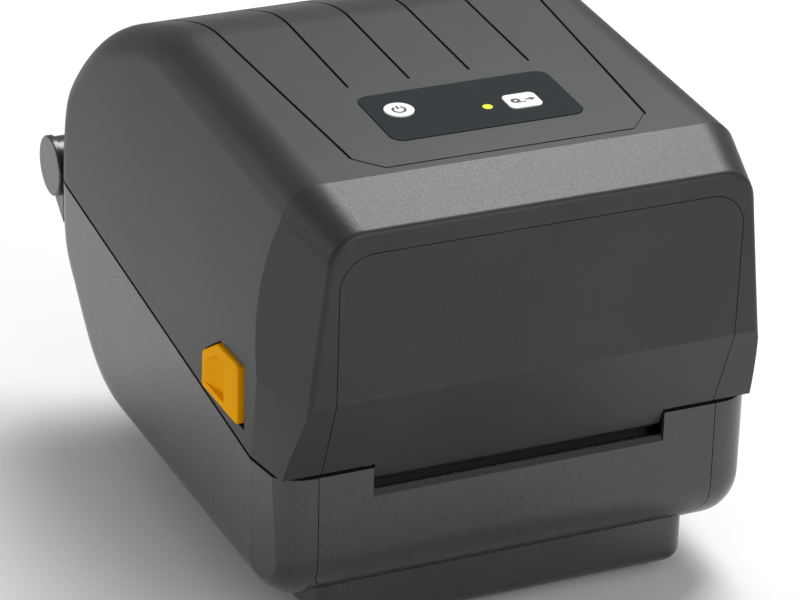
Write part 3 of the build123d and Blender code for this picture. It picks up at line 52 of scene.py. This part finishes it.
# %% [markdown]
# ## Helpers for materials
# Colours are picked as sRGB hex values, as on a colour card, but Blender's shaders want linear numbers, so the first
# function turns one into the other. The second adds a shader node with its settings, socket values and links, and
# with its stops if it is a colour ramp, so that a material reads as a short list. The third starts a material.
#
# Blender's noise runs from 0 to 1 but stays between about 0.3 and 0.7 nearly everywhere, so the patterns below use
# that part of it.

# %% Helpers for materials
MM = 0.001
NOISE_LOW, NOISE_HIGH = 0.3, 0.7


def linear(code):
    """Linear colour with alpha from an sRGB hex value."""
    parts = [int(code[i:i + 2], 16) / 255 for i in (1, 3, 5)]
    return [p / 12.92 if p <= 0.04045 else ((p + 0.055) / 1.055) ** 2.4 for p in parts] + [1.0]


def add_node(tree, kind, values=None, links=None, stops=(), **settings):
    """A shader node with its settings, socket values and links, and a ramp's two colours as stops."""
    node = tree.nodes.new(kind)
    for name, value in settings.items():
        setattr(node, name, value)
    for socket, value in (values or {}).items():
        node.inputs[socket].default_value = value
    for socket, source in (links or {}).items():
        tree.links.new(source, node.inputs[socket])
    for number, (code, position) in enumerate(zip(stops, (NOISE_LOW, NOISE_HIGH))):
        node.color_ramp.elements[number].color = linear(code)
        node.color_ramp.elements[number].position = position
    return node


def start_material(name, **shader_values):
    """An empty material with its shader, and the Object coordinates that its patterns read."""
    material = bpy.data.materials.new(name)
    material.use_nodes = True
    tree = material.node_tree
    tree.nodes.clear()
    values = {key.replace("_", " "): value for key, value in shader_values.items()}
    shader = add_node(tree, "ShaderNodeBsdfPrincipled", values)
    add_node(tree, "ShaderNodeOutputMaterial", links={"Surface": shader.outputs["BSDF"]})
    place = add_node(tree, "ShaderNodeTexCoord").outputs["Object"]
    return material, tree, shader, place


print("mid grey #808080 in linear numbers:", round(linear("#808080")[0], 3))

# %% [markdown]
# ## Moulded plastics
# The case, and most of what is inside, is injection-moulded ABS. The mould's steel is spark-eroded, which leaves a
# fine pebbled skin that scatters light, so the plastic looks matt and a little lighter where light grazes it. The
# real grain is about 0.1 mm, too fine to show at this distance, so it is drawn at 0.6 mm. A second, wider noise stands
# for the faint clouds that the plastic leaves as it flows into the mould. The skin could be real bumps in the mesh,
# but a bump in the shader costs no faces and leaves the solids as they are.

# %% A moulded plastic
FLOW_MM = 45.0
SKIN_ROUGHNESS_SPREAD = 0.05


def moulded_plastic(name, colours, grain_mm, relief_mm, roughness, **more):
    """Injection-moulded plastic with a spark-eroded skin over faint flow clouds."""
    material, tree, shader, place = start_material(name, IOR=1.5, **more)
    skin = add_node(tree, "ShaderNodeTexNoise", {"Scale": 1 / (grain_mm * MM), "Detail": 2.0}, {"Vector": place})
    flow = add_node(tree, "ShaderNodeTexNoise", {"Scale": 1 / (FLOW_MM * MM), "Detail": 3.0}, {"Vector": place})
    total = add_node(tree, "ShaderNodeMath", links={0: skin.outputs["Fac"], 1: flow.outputs["Fac"]}, operation="ADD")
    mean = add_node(tree, "ShaderNodeMath", {1: 0.5}, {0: total.outputs["Value"]}, operation="MULTIPLY")
    colour = add_node(tree, "ShaderNodeValToRGB", links={"Fac": mean.outputs["Value"]}, stops=colours)
    sheen = add_node(tree, "ShaderNodeMapRange",
                     {"From Min": NOISE_LOW, "From Max": NOISE_HIGH,
                      "To Min": roughness - SKIN_ROUGHNESS_SPREAD, "To Max": roughness + SKIN_ROUGHNESS_SPREAD},
                     {"Value": skin.outputs["Fac"]})
    relief = add_node(tree, "ShaderNodeBump", {"Strength": 1.0, "Distance": relief_mm * MM},
                      {"Height": skin.outputs["Fac"]})
    tree.links.new(colour.outputs["Color"], shader.inputs["Base Color"])
    tree.links.new(sheen.outputs["Result"], shader.inputs["Roughness"])
    tree.links.new(relief.outputs["Normal"], shader.inputs["Normal"])
    return material


print("flow clouds:", FLOW_MM, "mm")

# %% [markdown]
# Each plastic differs by its colour, by how rough its mould was, and by how much light its surface throws back.

# %% The plastics of the printer
# Charcoal ABS from a rough mould: matt, with a wide soft highlight along the rounded edges.
cover_abs = moulded_plastic("moulded_abs_charcoal", ("#27292B", "#323436"), grain_mm=0.6, relief_mm=0.02,
                            roughness=0.42, Specular_IOR_Level=0.35)
# The same ABS from a smoother mould: the base looks satin and mirrors the bright floor as a pale haze.
base_abs = moulded_plastic("moulded_abs_charcoal_satin", ("#272829", "#313233"), grain_mm=0.6, relief_mm=0.01,
                           roughness=0.27, Specular_IOR_Level=0.75)
# Unpolished inner ABS: dull and even, so that the inside recedes.
inner_abs = moulded_plastic("moulded_abs_black", ("#262729", "#303133"), grain_mm=0.8, relief_mm=0.02, roughness=0.5)
# Undyed acetal: milky off-white, with the slight gloss of a waxy plastic.
gear_acetal = moulded_plastic("moulded_acetal", ("#DCD9CE", "#E8E6DC"), grain_mm=1.2, relief_mm=0.005, roughness=0.35)
# Amber ABS: a saturated colour that stays deep, with only a thin gloss on top.
amber_abs = moulded_plastic("moulded_abs_amber", ("#FBAC00", "#FFB400"), grain_mm=0.6, relief_mm=0.01,
                            roughness=0.38, Specular_IOR_Level=0.0, Coat_Weight=0.08, Coat_Roughness=0.25)
# Black nylon: nearly black, with a soft sheen.
black_nylon = moulded_plastic("moulded_nylon_black", ("#131314", "#1D1D1F"), grain_mm=0.8, relief_mm=0.01,
                              roughness=0.45)
# White ABS of the keys: clean and smooth, the brightest spots on the printer.
white_key_abs = moulded_plastic("moulded_abs_white", ("#E4E7E8", "#EDEFF0"), grain_mm=0.5, relief_mm=0.005,
                                roughness=0.35)
# Ink of the marks: flat dark grey, without the highlight of the key below it.
key_ink = moulded_plastic("key_ink_dark", ("#202325", "#292C2E"), grain_mm=0.4, relief_mm=0.002, roughness=0.5)
plastics = (cover_abs, base_abs, inner_abs, gear_acetal, amber_abs, black_nylon, white_key_abs, key_ink)
print("plastics and ink:", [material.name for material in plastics])

# %% [markdown]
# ## Film, rubber, metals and glaze
# In these one noise pattern leads everything: where it is high, the surface is lighter, rougher and, if it has any
# relief, raised. The lines that rolling, drawing or milling leave on metal are the same noise, stretched twenty times
# along an axis. Anisotropic shading could stretch the highlight as well, but it would leave out the lines themselves.

# %% A surface that follows one pattern
def grained_surface(name, colours, roughness_range, grain_mm, detail, relief_mm=0.0, stretch=(1, 1, 1), **more):
    """Material whose colour, roughness and relief follow one noise pattern."""
    material, tree, shader, place = start_material(name, **more)
    turned = add_node(tree, "ShaderNodeMapping", {"Scale": stretch}, {"Vector": place})
    pattern = add_node(tree, "ShaderNodeTexNoise", {"Scale": 1 / (grain_mm * MM), "Detail": detail},
                       {"Vector": turned.outputs["Vector"]})
    colour = add_node(tree, "ShaderNodeValToRGB", links={"Fac": pattern.outputs["Fac"]}, stops=colours)
    sheen = add_node(tree, "ShaderNodeMapRange",
                     {"From Min": NOISE_LOW, "From Max": NOISE_HIGH,
                      "To Min": roughness_range[0], "To Max": roughness_range[1]},
                     {"Value": pattern.outputs["Fac"]})
    tree.links.new(colour.outputs["Color"], shader.inputs["Base Color"])
    tree.links.new(sheen.outputs["Result"], shader.inputs["Roughness"])
    if relief_mm:
        relief = add_node(tree, "ShaderNodeBump", {"Strength": 1.0, "Distance": relief_mm * MM},
                          {"Height": pattern.outputs["Fac"]})
        tree.links.new(relief.outputs["Normal"], shader.inputs["Normal"])
    return material


print("a surface follows one noise between", NOISE_LOW, "and", NOISE_HIGH)

# %% [markdown]
# The control label is a polyester film printed on its back, so it is smoother than the case. Steel parts are sheet
# and bar, the heatsink is milled aluminium, and the print head is ceramic under a glaze.

# %% Film, rubber, metals and glaze of the printer
LINES_ALONG_X = (0.05, 1, 1)
LINES_ALONG_Y = (1, 0.05, 1)
METAL_LINE_MM = 1.0
# Film printed on its back: a smooth, even dark patch with a soft image of the room.
film = grained_surface("polyester_film_dark", ("#22282A", "#282E30"), (0.18, 0.22), grain_mm=0.35, detail=2.0,
                       relief_mm=0.001, IOR=1.55, Specular_IOR_Level=0.1)
# Rubber with dust in its pores: dull, without a highlight.
rubber = grained_surface("rubber_black", ("#161616", "#242424"), (0.7, 0.85), grain_mm=1.0, detail=4.0,
                         relief_mm=0.03, IOR=1.52)
# Zinc-plated steel: a cool grey whose highlight breaks into fine lines.
steel = grained_surface("zinc_plated_steel", ("#8E9196", "#B4B7BB"), (0.28, 0.4), METAL_LINE_MM, detail=3.0,
                        relief_mm=0.01, stretch=LINES_ALONG_X, Metallic=1.0)
# Steel with painted shade: darkened to almost the shade of the slot that it stands in, with a blurred glint.
steel_painted_slot_shade = grained_surface("steel_painted_dark_slot_shade", ("#242526", "#313233"), (0.39, 0.51), METAL_LINE_MM, detail=3.0,
                              relief_mm=0.01, stretch=LINES_ALONG_X, Metallic=1.0)
# Milled aluminium: the palest metal here, with lines from front to back.
aluminium = grained_surface("milled_aluminium", ("#B5B8BB", "#D2D4D6"), (0.24, 0.36), METAL_LINE_MM, detail=3.0,
                            relief_mm=0.01, stretch=LINES_ALONG_Y, Metallic=1.0)
# Ceramic under a dark glaze: deep brown-black and glassy, with one sharp highlight.
ceramic = grained_surface("glazed_head_dark", ("#2E2A26", "#3A3530"), (0.12, 0.2), grain_mm=6.0, detail=3.0, IOR=1.6)
surfaces = (film, rubber, steel, steel_painted_slot_shade, aluminium, ceramic)
print("other surfaces:", [material.name for material in surfaces])

# %% [markdown]
# ## Circuit board
# The boards are glass fibre under green lacquer. Tracks could be drawn one by one, but the boards are hardly seen, so a
# brick pattern stands for them: its joints are lighter, because copper shows through the lacquer, and slightly raised.
# A brick is half a unit long and a quarter high. The lacquer adds a clear gloss on top.

# %% Circuit board
BRICK_UNIT_MM, TRACK_RELIEF_MM, LACQUER_MM = 6.0, 0.03, 3.0
board, tree, shader, place = start_material("circuit_board_green", IOR=1.5, Coat_Weight=0.4)
tracks = add_node(tree, "ShaderNodeTexBrick",
                  {"Scale": 1 / (BRICK_UNIT_MM * MM), "Mortar Size": 0.04, "Color1": linear("#0E4A2A"),
                   "Color2": linear("#125633"), "Mortar": linear("#2C7A48")},
                  {"Vector": place})
lacquer = add_node(tree, "ShaderNodeTexNoise", {"Scale": 1 / (LACQUER_MM * MM), "Detail": 2.0}, {"Vector": place})
sheen = add_node(tree, "ShaderNodeMapRange",
                 {"From Min": NOISE_LOW, "From Max": NOISE_HIGH, "To Min": 0.28, "To Max": 0.36},
                 {"Value": lacquer.outputs["Fac"]})
relief = add_node(tree, "ShaderNodeBump", {"Strength": 1.0, "Distance": TRACK_RELIEF_MM * MM},
                  {"Height": tracks.outputs["Fac"]})
tree.links.new(tracks.outputs["Color"], shader.inputs["Base Color"])
tree.links.new(sheen.outputs["Result"], shader.inputs["Roughness"])
tree.links.new(relief.outputs["Normal"], shader.inputs["Normal"])
print(board.name, "with", len(tree.nodes), "nodes")

# %% [markdown]
# ## Lit light pipe
# A clear acrylic rod carries the light of a yellow-green lamp to the control label. A small lamp could stand below it,
# but light through clear plastic needs many samples, so the rod glows by itself: strongly enough to stand out on the
# dark label, too weakly to light it.

# %% Lit light pipe
CLOUD_MM = 1.5
green_pipe, tree, shader, place = start_material("acrylic_lit_green", IOR=1.49, Roughness=0.2, Emission_Strength=0.35)
cloud = add_node(tree, "ShaderNodeTexNoise", {"Scale": 1 / (CLOUD_MM * MM), "Detail": 2.0}, {"Vector": place})
for socket, colours in (("Base Color", ("#BFD81C", "#D2EA34")), ("Emission Color", ("#C4DC20", "#D8EE40"))):
    colour = add_node(tree, "ShaderNodeValToRGB", links={"Fac": cloud.outputs["Fac"]}, stops=colours)
    tree.links.new(colour.outputs["Color"], shader.inputs[socket])
print(green_pipe.name, "with", len(tree.nodes), "nodes")

# %% [markdown]
# ## Dress the solids
# Each solid takes the finish of what the real one is made of. The names come from the record's own list of material
# slots, so a new solid can't be forgotten: a slot with no finish stops the script here. A few solids differ from
# their slot. The base's outer pieces are satin, and the tear bar's steel is painted dark like the shade in its slot.

# %% Dress the solids
finish_of_slot = {
    "case_plastic": cover_abs, "inner_plastic": inner_abs, "gear_plastic": gear_acetal, "amber_plastic": amber_abs,
    "black_plastic": black_nylon, "white_key": white_key_abs, "label_film": film, "clear_pipe": green_pipe,
    "steel": steel, "aluminium": aluminium, "ceramic": ceramic, "rubber": rubber, "circuit_board": board,
}
# The tear bar's dark steel is painted shade, about as dark as the slot around it.
finish_of_node = {
    "base_tub": base_abs, "base_front_panel": base_abs, "socket_panel": base_abs, "hinge_caps": base_abs,
    "bottom_plate": base_abs, "tear_bar": steel_painted_slot_shade,
}
for part in frame["record"]["subparts"]:
    mesh = nodes[part["node"]].data
    mesh.materials.clear()
    mesh.materials.append(finish_of_node.get(part["node"]) or finish_of_slot[part["material_slot"]])
print("finishes:", len(finish_of_slot), "exceptions:", len(finish_of_node))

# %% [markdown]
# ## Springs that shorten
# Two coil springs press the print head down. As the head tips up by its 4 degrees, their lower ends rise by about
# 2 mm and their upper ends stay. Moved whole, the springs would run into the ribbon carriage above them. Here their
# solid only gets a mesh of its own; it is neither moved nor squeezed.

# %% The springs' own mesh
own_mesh(nodes["head_springs"])

# %% [markdown]
# ## Marks on the two keys
# The white keys carry printed marks: a broken ring with a bar for power, and a roll with an arrow for feeding labels.
# They could be painted with a pattern in the key's material, but a thin mesh keeps its edges sharp at any distance.
# Each mark is shaped flat around the origin from bars and rings, and then carried on to its key. Sizes are in
# millimetres here. A mark is thicker than real ink, or it would flicker against the key.
#
# A bar is a cube that is squeezed to its size in edit mode and bevelled.

# %% Flat bar
MARK_THICKNESS = 0.16
BEVEL_SHARE = 0.2


def flat_bar(x, y, width, depth):
    """Small bar with bevelled corners, lying flat around a place."""
    bpy.ops.mesh.primitive_cube_add(size=1)
    bpy.ops.object.mode_set(mode="EDIT")
    bpy.ops.mesh.select_all(action="SELECT")
    bpy.ops.transform.resize(value=(width * MM, depth * MM, MARK_THICKNESS * MM), center_override=(0, 0, 0))
    bpy.ops.mesh.bevel(offset=min(width, depth) * BEVEL_SHARE * MM, segments=2, affect="EDGES", clamp_overlap=True)
    bpy.ops.mesh.select_all(action="SELECT")
    bpy.ops.transform.translate(value=(x * MM, y * MM, 0))
    bpy.ops.object.mode_set(mode="OBJECT")
    return bpy.context.object


print("marks are", MARK_THICKNESS, "mm thick")

# %% [markdown]
# A ring is a torus that is pressed flat, which leaves it a rounded rim. Join then makes one object out of the pieces
# of a mark, so that it can be moved and finished as one.

# %% Flat ring and join
RING_STEPS, RIM_STEPS = 64, 10


def flat_ring(x, y, radius, half_width):
    """Flattened ring around a place."""
    bpy.ops.mesh.primitive_torus_add(major_segments=RING_STEPS, minor_segments=RIM_STEPS, major_radius=radius * MM,
                                     minor_radius=half_width * MM)
    bpy.ops.object.mode_set(mode="EDIT")
    bpy.ops.mesh.select_all(action="SELECT")
    bpy.ops.transform.resize(value=(1, 1, MARK_THICKNESS / 2 / half_width), center_override=(0, 0, 0))
    bpy.ops.transform.translate(value=(x * MM, y * MM, 0))
    bpy.ops.object.mode_set(mode="OBJECT")
    return bpy.context.object


def joined(pieces):
    """One object out of several."""
    bpy.ops.object.select_all(action="DESELECT")
    for piece in pieces:
        piece.select_set(True)
    bpy.context.view_layer.objects.active = pieces[0]
    bpy.ops.object.join()
    return bpy.context.object


print("a ring has", RING_STEPS, "steps round and", RIM_STEPS, "round its rim")

# %% [markdown]
# The top of the printer rises towards the back by about 6 mm in 100 mm, so a mark is tilted by the same slope, and
# its height comes from where its key lies along that slope.

# %% Placing a mark on a key
top_front_y, top_front_z = -107.4, 182.9
top_rear_y, top_rear_z = 15.0, 190.6
top_slope = (top_rear_z - top_front_z) / (top_rear_y - top_front_y)
key_top_above_case = 0.6


def seat_on_key(mark, name, key_x, key_y, body):
    """Moves a mark's mesh on to the middle of a key, finishes it and lets it ride on the key's body."""
    height = top_front_z + top_slope * (key_y - top_front_y)
    tilt = Matrix.Rotation(math.atan(top_slope), 4, "X")
    lift = Matrix.Translation((0, 0, key_top_above_case * MM))
    mark.data.transform(Matrix.Translation((key_x * MM, key_y * MM, height * MM)) @ tilt @ lift)
    mark.name = name
    mark.data.materials.clear()
    mark.data.materials.append(key_ink)
    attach(mark, body)
    print(name, len(mark.data.polygons), "faces")


print("slope of the top:", round(math.degrees(math.atan(top_slope)), 2), "degrees")

# %% [markdown]
# ### Power mark
# The ring is broken at the back by deleting the points within 32 degrees of that direction and closing the two ends.
# The bar stands in the gap.

# %% Power mark
gap_half_angle = math.radians(32)
ring = flat_ring(x=0, y=0, radius=2.3, half_width=0.46)
bpy.ops.object.mode_set(mode="EDIT")
bpy.ops.mesh.select_all(action="DESELECT")
bpy.ops.object.mode_set(mode="OBJECT")
for vertex in ring.data.vertices:
    vertex.select = abs(math.atan2(vertex.co.x, vertex.co.y)) < gap_half_angle
bpy.ops.object.mode_set(mode="EDIT")
bpy.ops.mesh.delete(type="VERT")
bpy.ops.mesh.select_all(action="SELECT")
bpy.ops.mesh.fill_holes(sides=12)
bpy.ops.object.mode_set(mode="OBJECT")
bar = flat_bar(x=0, y=1.7, width=0.9, depth=2.4)
seat_on_key(joined([ring, bar]), "power_mark", key_x=-26.5, key_y=-63.5, body="power_button")

# %% [markdown]
# ### Feed mark
# A ring stands for the label roll and a thin bar below it for the label that comes off it. The arrow beside it is a
# bar with a head, which is a cone with three sides, turned to point along the bar.

# %% Feed mark
arrow_y = 0.2
roll = flat_ring(x=-2.6, y=arrow_y, radius=1.25, half_width=0.6)
strip = flat_bar(x=-0.6, y=-1.35, width=3.4, depth=0.6)
shaft = flat_bar(x=2.2, y=arrow_y, width=1.9, depth=0.8)
head_x, head_low_radius, head_high_radius = 3.9, 1.5, 1.4
bpy.ops.mesh.primitive_cone_add(vertices=3, radius1=head_low_radius * MM, radius2=head_high_radius * MM,
                                depth=MARK_THICKNESS * MM)
head = bpy.context.object
bpy.ops.object.mode_set(mode="EDIT")
bpy.ops.mesh.select_all(action="SELECT")
bpy.ops.transform.rotate(value=math.radians(90), orient_axis="Z", center_override=(0, 0, 0))
bpy.ops.transform.translate(value=(head_x * MM, arrow_y * MM, 0))
bpy.ops.object.mode_set(mode="OBJECT")
seat_on_key(joined([roll, strip, shaft, head]), "feed_mark", key_x=19.3, key_y=-70.4, body="feed_button")

# %% [markdown]
# ## The floor
# The printer stands on a wide matt floor, almost white, which throws light back up under the case. A backdrop that
# curves up behind it would be the studio's way, but the world behind is white too, so a flat floor does. It lies a
# hair below the feet, so that the two don't flicker.

# %% Floor
FLOOR_SIZE, FLOOR_HEIGHT, FLOOR_CLOUD_MM = 12, -0.0002, 400.0
bpy.ops.object.select_all(action="DESELECT")
bpy.ops.mesh.primitive_plane_add(size=FLOOR_SIZE, location=(0, 0, FLOOR_HEIGHT))
floor = bpy.context.object
floor.name = "studio_floor"
floor_paint, tree, shader, place = start_material("pale_floor", Roughness=0.9)
cloud = add_node(tree, "ShaderNodeTexNoise", {"Scale": 1 / (FLOOR_CLOUD_MM * MM), "Detail": 2.0}, {"Vector": place})
colour = add_node(tree, "ShaderNodeValToRGB", links={"Fac": cloud.outputs["Fac"]}, stops=("#EFEFEF", "#F4F4F4"))
tree.links.new(colour.outputs["Color"], shader.inputs["Base Color"])
floor.data.materials.append(floor_paint)
print("floor:", FLOOR_SIZE, "m wide")

# %% [markdown]
# ## The world
# The world looks plain white where the camera sees it, but lights the printer more weakly than that, so the dark
# case keeps its contrast. The light path tells the two apart.

# %% World
seen_strength, lighting_strength = 1.0, 0.3
world = bpy.data.worlds.new("studio_world")
bpy.context.scene.world = world
world.use_nodes = True
tree = world.node_tree
tree.nodes.clear()
rays = add_node(tree, "ShaderNodeLightPath")
seen = add_node(tree, "ShaderNodeMath",
                links={0: rays.outputs["Is Camera Ray"], 1: rays.outputs["Is Transmission Ray"]}, operation="MAXIMUM")
room = add_node(tree, "ShaderNodeBackground", {"Color": linear("#FFFFFF"), "Strength": lighting_strength})
white = add_node(tree, "ShaderNodeBackground", {"Color": linear("#FFFFFF"), "Strength": seen_strength})
choice = add_node(tree, "ShaderNodeMixShader",
                  links={0: seen.outputs["Value"], 1: room.outputs["Background"], 2: white.outputs["Background"]})
add_node(tree, "ShaderNodeOutputWorld", links={"Surface": choice.outputs["Shader"]})
print("world:", len(tree.nodes), "nodes")

# %% [markdown]
# ## The lamps
# Three square soft lamps aim at the middle of the printer. The key lamp hangs above the back right and lights the top
# and the slanted strip in front of it, the fill opens up the front, and the side lamp, low at the back left, draws
# the long side of the case.

# %% Lamps
printer_middle = Vector((0, 0, 0.09))
lamp_places_sizes_watts = {
    "key_lamp": ((0.55, 0.5, 1.42), 0.8, 23),
    "fill_lamp": ((0.4, -1.8, 0.8), 1.2, 13),
    "side_lamp": ((-1.4, 0.9, 0.6), 0.8, 5.5),
}
for name, (lamp_place, size, watts) in lamp_places_sizes_watts.items():
    bpy.ops.object.light_add(type="AREA", location=lamp_place)
    lamp = bpy.context.object
    lamp.name = name
    lamp.data.size = size
    lamp.data.energy = watts
    aim = printer_middle - Vector(lamp_place)
    lamp.rotation_euler = aim.to_track_quat("-Z", "Y").to_euler()
    print(name, watts, "W,", round(aim.length, 2), "m away")

# %% [markdown]
# ## The camera
# The camera stands left of the front and above, and is turned a little about its own axis, as the photographer's was.
# Its place, aim and focal length come from fitting the printer's corners to the photograph.

# %% Camera
camera_place = Vector((-0.5562, -1.2333, 0.7282))
camera_aim = Vector((0.08056, 0.16715, -0.0121))
camera_roll = math.radians(1.36)
picture_width = 800
focal_pixels = 3872
bpy.ops.object.camera_add(location=camera_place)
camera = bpy.context.object
camera.name = "photo_camera"
camera.data.sensor_width = 36
camera.data.lens = focal_pixels / picture_width * camera.data.sensor_width
camera.data.clip_end = 50
ahead = (camera_aim - camera_place).normalized()
right = ahead.cross(Vector((0, 0, 1))).normalized()
up = right.cross(ahead)
rolled_right = right * math.cos(camera_roll) + up * math.sin(camera_roll)
rolled_up = up * math.cos(camera_roll) - right * math.sin(camera_roll)
turned = Matrix((rolled_right, rolled_up, -ahead)).transposed().to_4x4()
camera.matrix_world = Matrix.Translation(camera_place) @ turned
bpy.context.scene.camera = camera
bpy.context.scene.view_settings.view_transform = "Standard"
print("lens:", round(camera.data.lens, 1), "mm on a", camera.data.sensor_width, "mm sensor")
